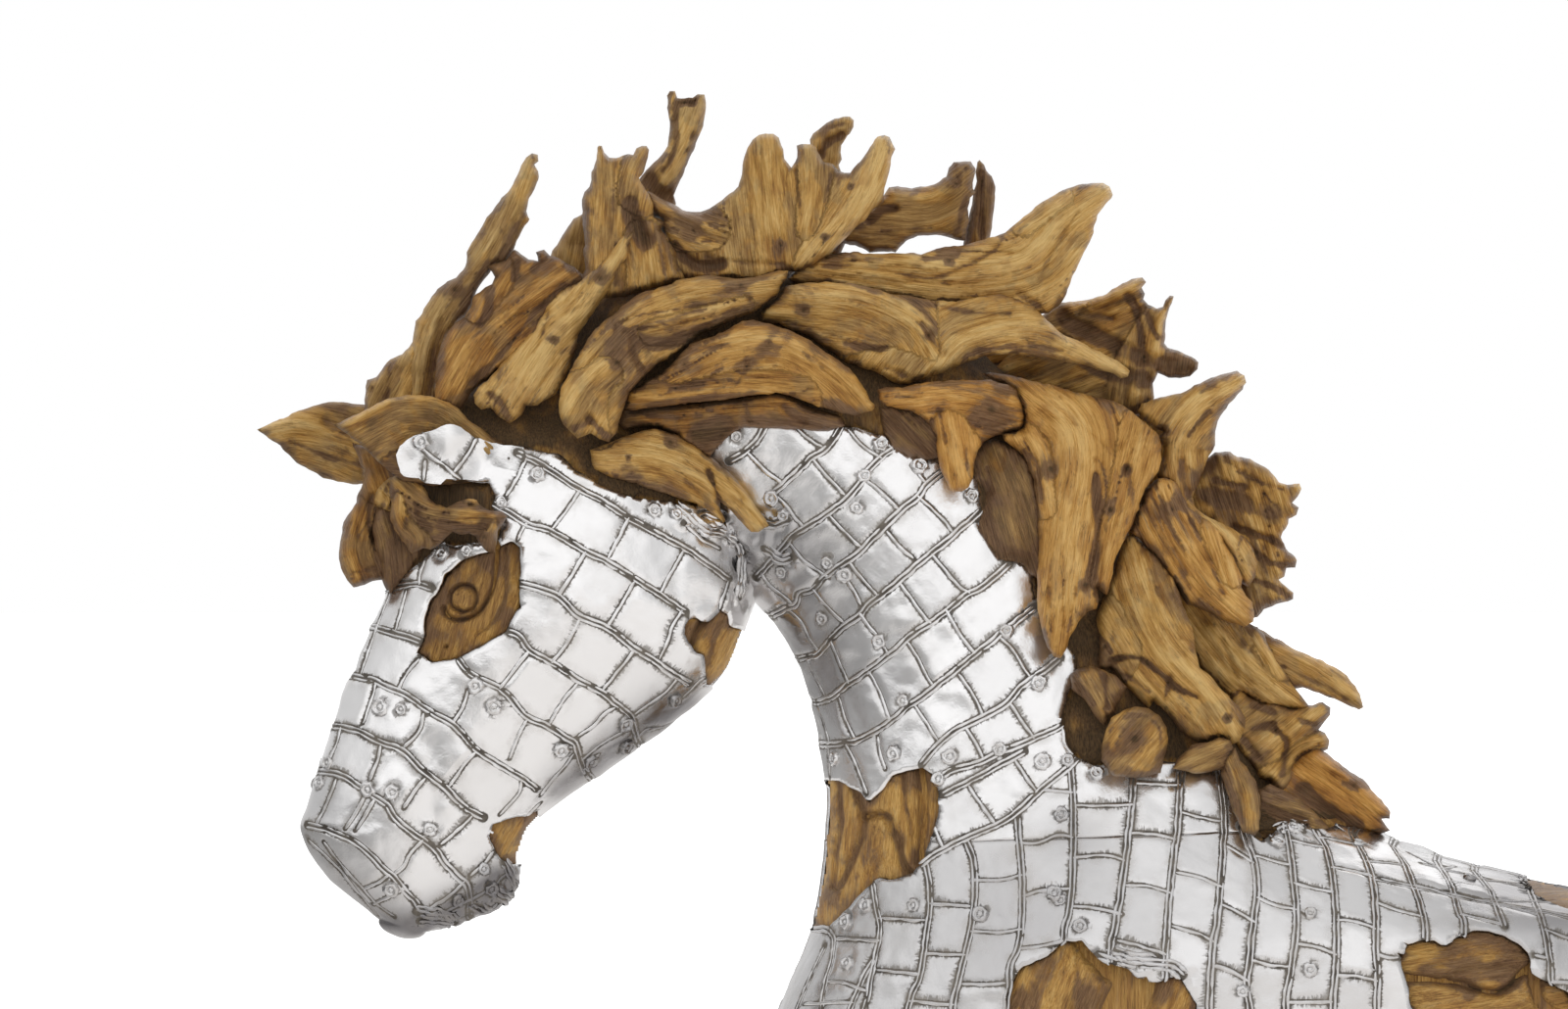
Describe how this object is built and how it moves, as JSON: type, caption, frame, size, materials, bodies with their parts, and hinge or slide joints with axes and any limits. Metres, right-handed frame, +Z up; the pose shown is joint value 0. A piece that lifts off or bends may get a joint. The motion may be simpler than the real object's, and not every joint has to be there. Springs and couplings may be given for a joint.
{
  "type": "metal horse sculpture",
  "caption": "Horse bust carved in wood, clad in dented welded metal plates, with a mane, forelock and ears of weathered root wood; stands on a flat cut.",
  "frame": {"origin": "on the flat cut under the chest and barrel, in the middle plane, below the withers", "axes": "-X the way the horse faces, -Y its left side, +Z up"},
  "size_m": [1.5043, 0.4378, 1.029],
  "materials": {
    "teak": "carved, oiled, with dark stains",
    "root_wood": "weathered root, waxed",
    "burnished_metal": "dented plates, welded, dark patina along the beads"
  },
  "bodies": {
    "root": {"antler_root": "root_wood", "bark_burr_root": "root_wood", "bent_root": "root_wood", "bent_root_right": "root_wood", "bright_root": "root_wood", "bright_root_right": "root_wood", "broad_plate_root": "root_wood", "broad_plate_root_right": "root_wood", "burr_root": "root_wood", "crest_oval_root": "root_wood", "crest_wedge_root": "root_wood", "crossbar_root": "root_wood", "dark_splinter_root": "root_wood", "ear_block_root": "root_wood", "flat_back_root": "root_wood", "forelock_chunk": "root_wood", "forelock_lump": "root_wood", "forelock_root": "root_wood", "forelock_tongue": "root_wood", "forked_lock_root": "root_wood", "gnarled_end_root": "root_wood", "hanging_blade_root": "root_wood", "hanging_blade_root_right": "root_wood", "hooked_root": "root_wood", "horned_block_root": "root_wood", "inner_log_root": "root_wood", "inner_splint_root": "root_wood", "knob_root": "root_wood", "leaf_root": "root_wood", "leaf_root_right": "root_wood", "left_ear": "root_wood", "long_back_root": "root_wood", "long_back_root_right": "root_wood", "long_blade_root": "root_wood", "low_plate_root": "root_wood", "low_plate_root_right": "root_wood", "low_prong_root": "root_wood", "metal_skin": "burnished_metal", "notched_root": "root_wood", "right_ear": "root_wood", "shoulder_plate_root": "root_wood", "spike_front_root": "root_wood", "tail_prong_root": "root_wood", "teak_body": "teak", "three_pronged_root": "root_wood", "under_plate_root": "root_wood", "upswept_root": "root_wood", "upswept_root_right": "root_wood", "wedge_root": "root_wood", "withers_log_root": "root_wood", "withers_under_root": "root_wood"}
  },
  "joints": []
}
